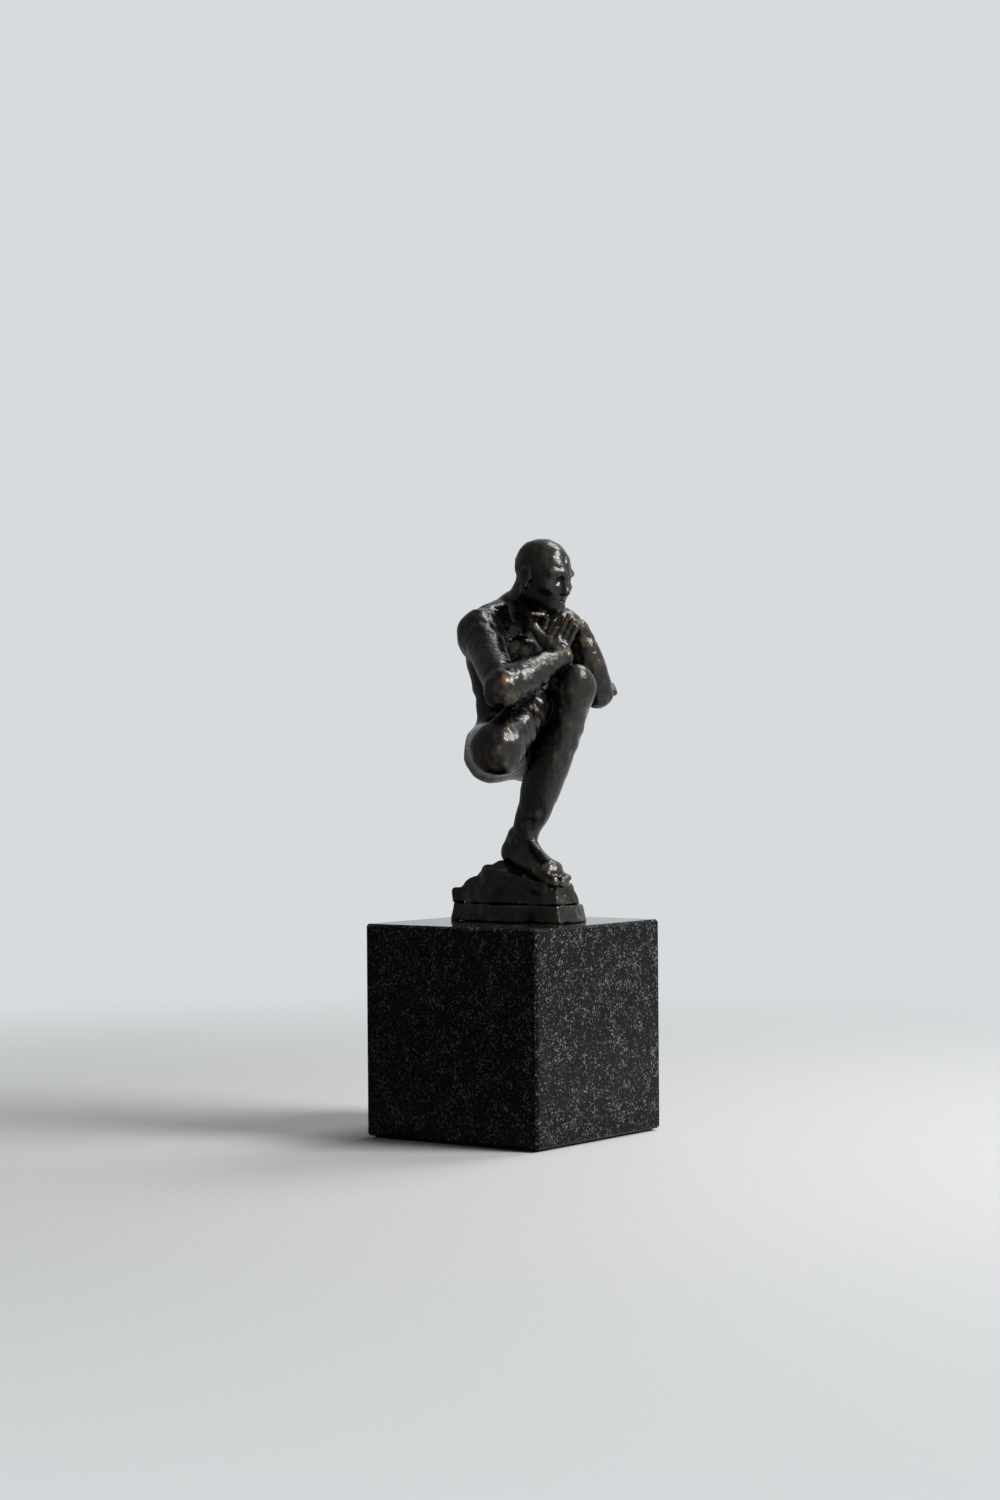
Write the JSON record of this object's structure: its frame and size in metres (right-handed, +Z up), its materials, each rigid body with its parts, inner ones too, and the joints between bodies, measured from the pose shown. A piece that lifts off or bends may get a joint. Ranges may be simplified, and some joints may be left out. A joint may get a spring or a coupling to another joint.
{
  "type": "thinker statue",
  "caption": "Dark bronze figure squatting on one foot on a rock, legs crossed, chin on joined hands, fixed on a polished black granite cube. A shelf or table ornament.",
  "frame": {"origin": "middle of the flat underside of the pad", "axes": "+Z up; -Y is the side the figure faces; +X is the figure's left side; cube sides along X and Y"},
  "size_m": [0.1149, 0.1, 0.2829],
  "materials": {
    "bronze": "cast bronze with a dark brown waxed patina, rubbed golden on the high points",
    "granite": "polished black granite with fine grey speckles",
    "felt": "black felt",
    "steel": "plain steel"
  },
  "bodies": {
    "root": {"granite_plinth": "granite", "felt_pad": "felt", "rock_slab": "bronze", "rock": "bronze", "torso": "bronze", "standing_leg": "bronze", "crossed_leg": "bronze", "right_arm": "bronze", "left_arm": "bronze", "head": "bronze", "mounting_stud": "steel", "stud_washer": "steel", "stud_nut": "steel", "locating_pin": "steel", "slab_screw_front": "steel", "slab_screw_rear": "steel", "left_hip_pin": "steel", "right_hip_pin": "steel", "left_shoulder_pin": "steel", "right_shoulder_pin": "steel", "neck_pin": "steel", "foot_pin": "steel"}
  },
  "joints": []
}
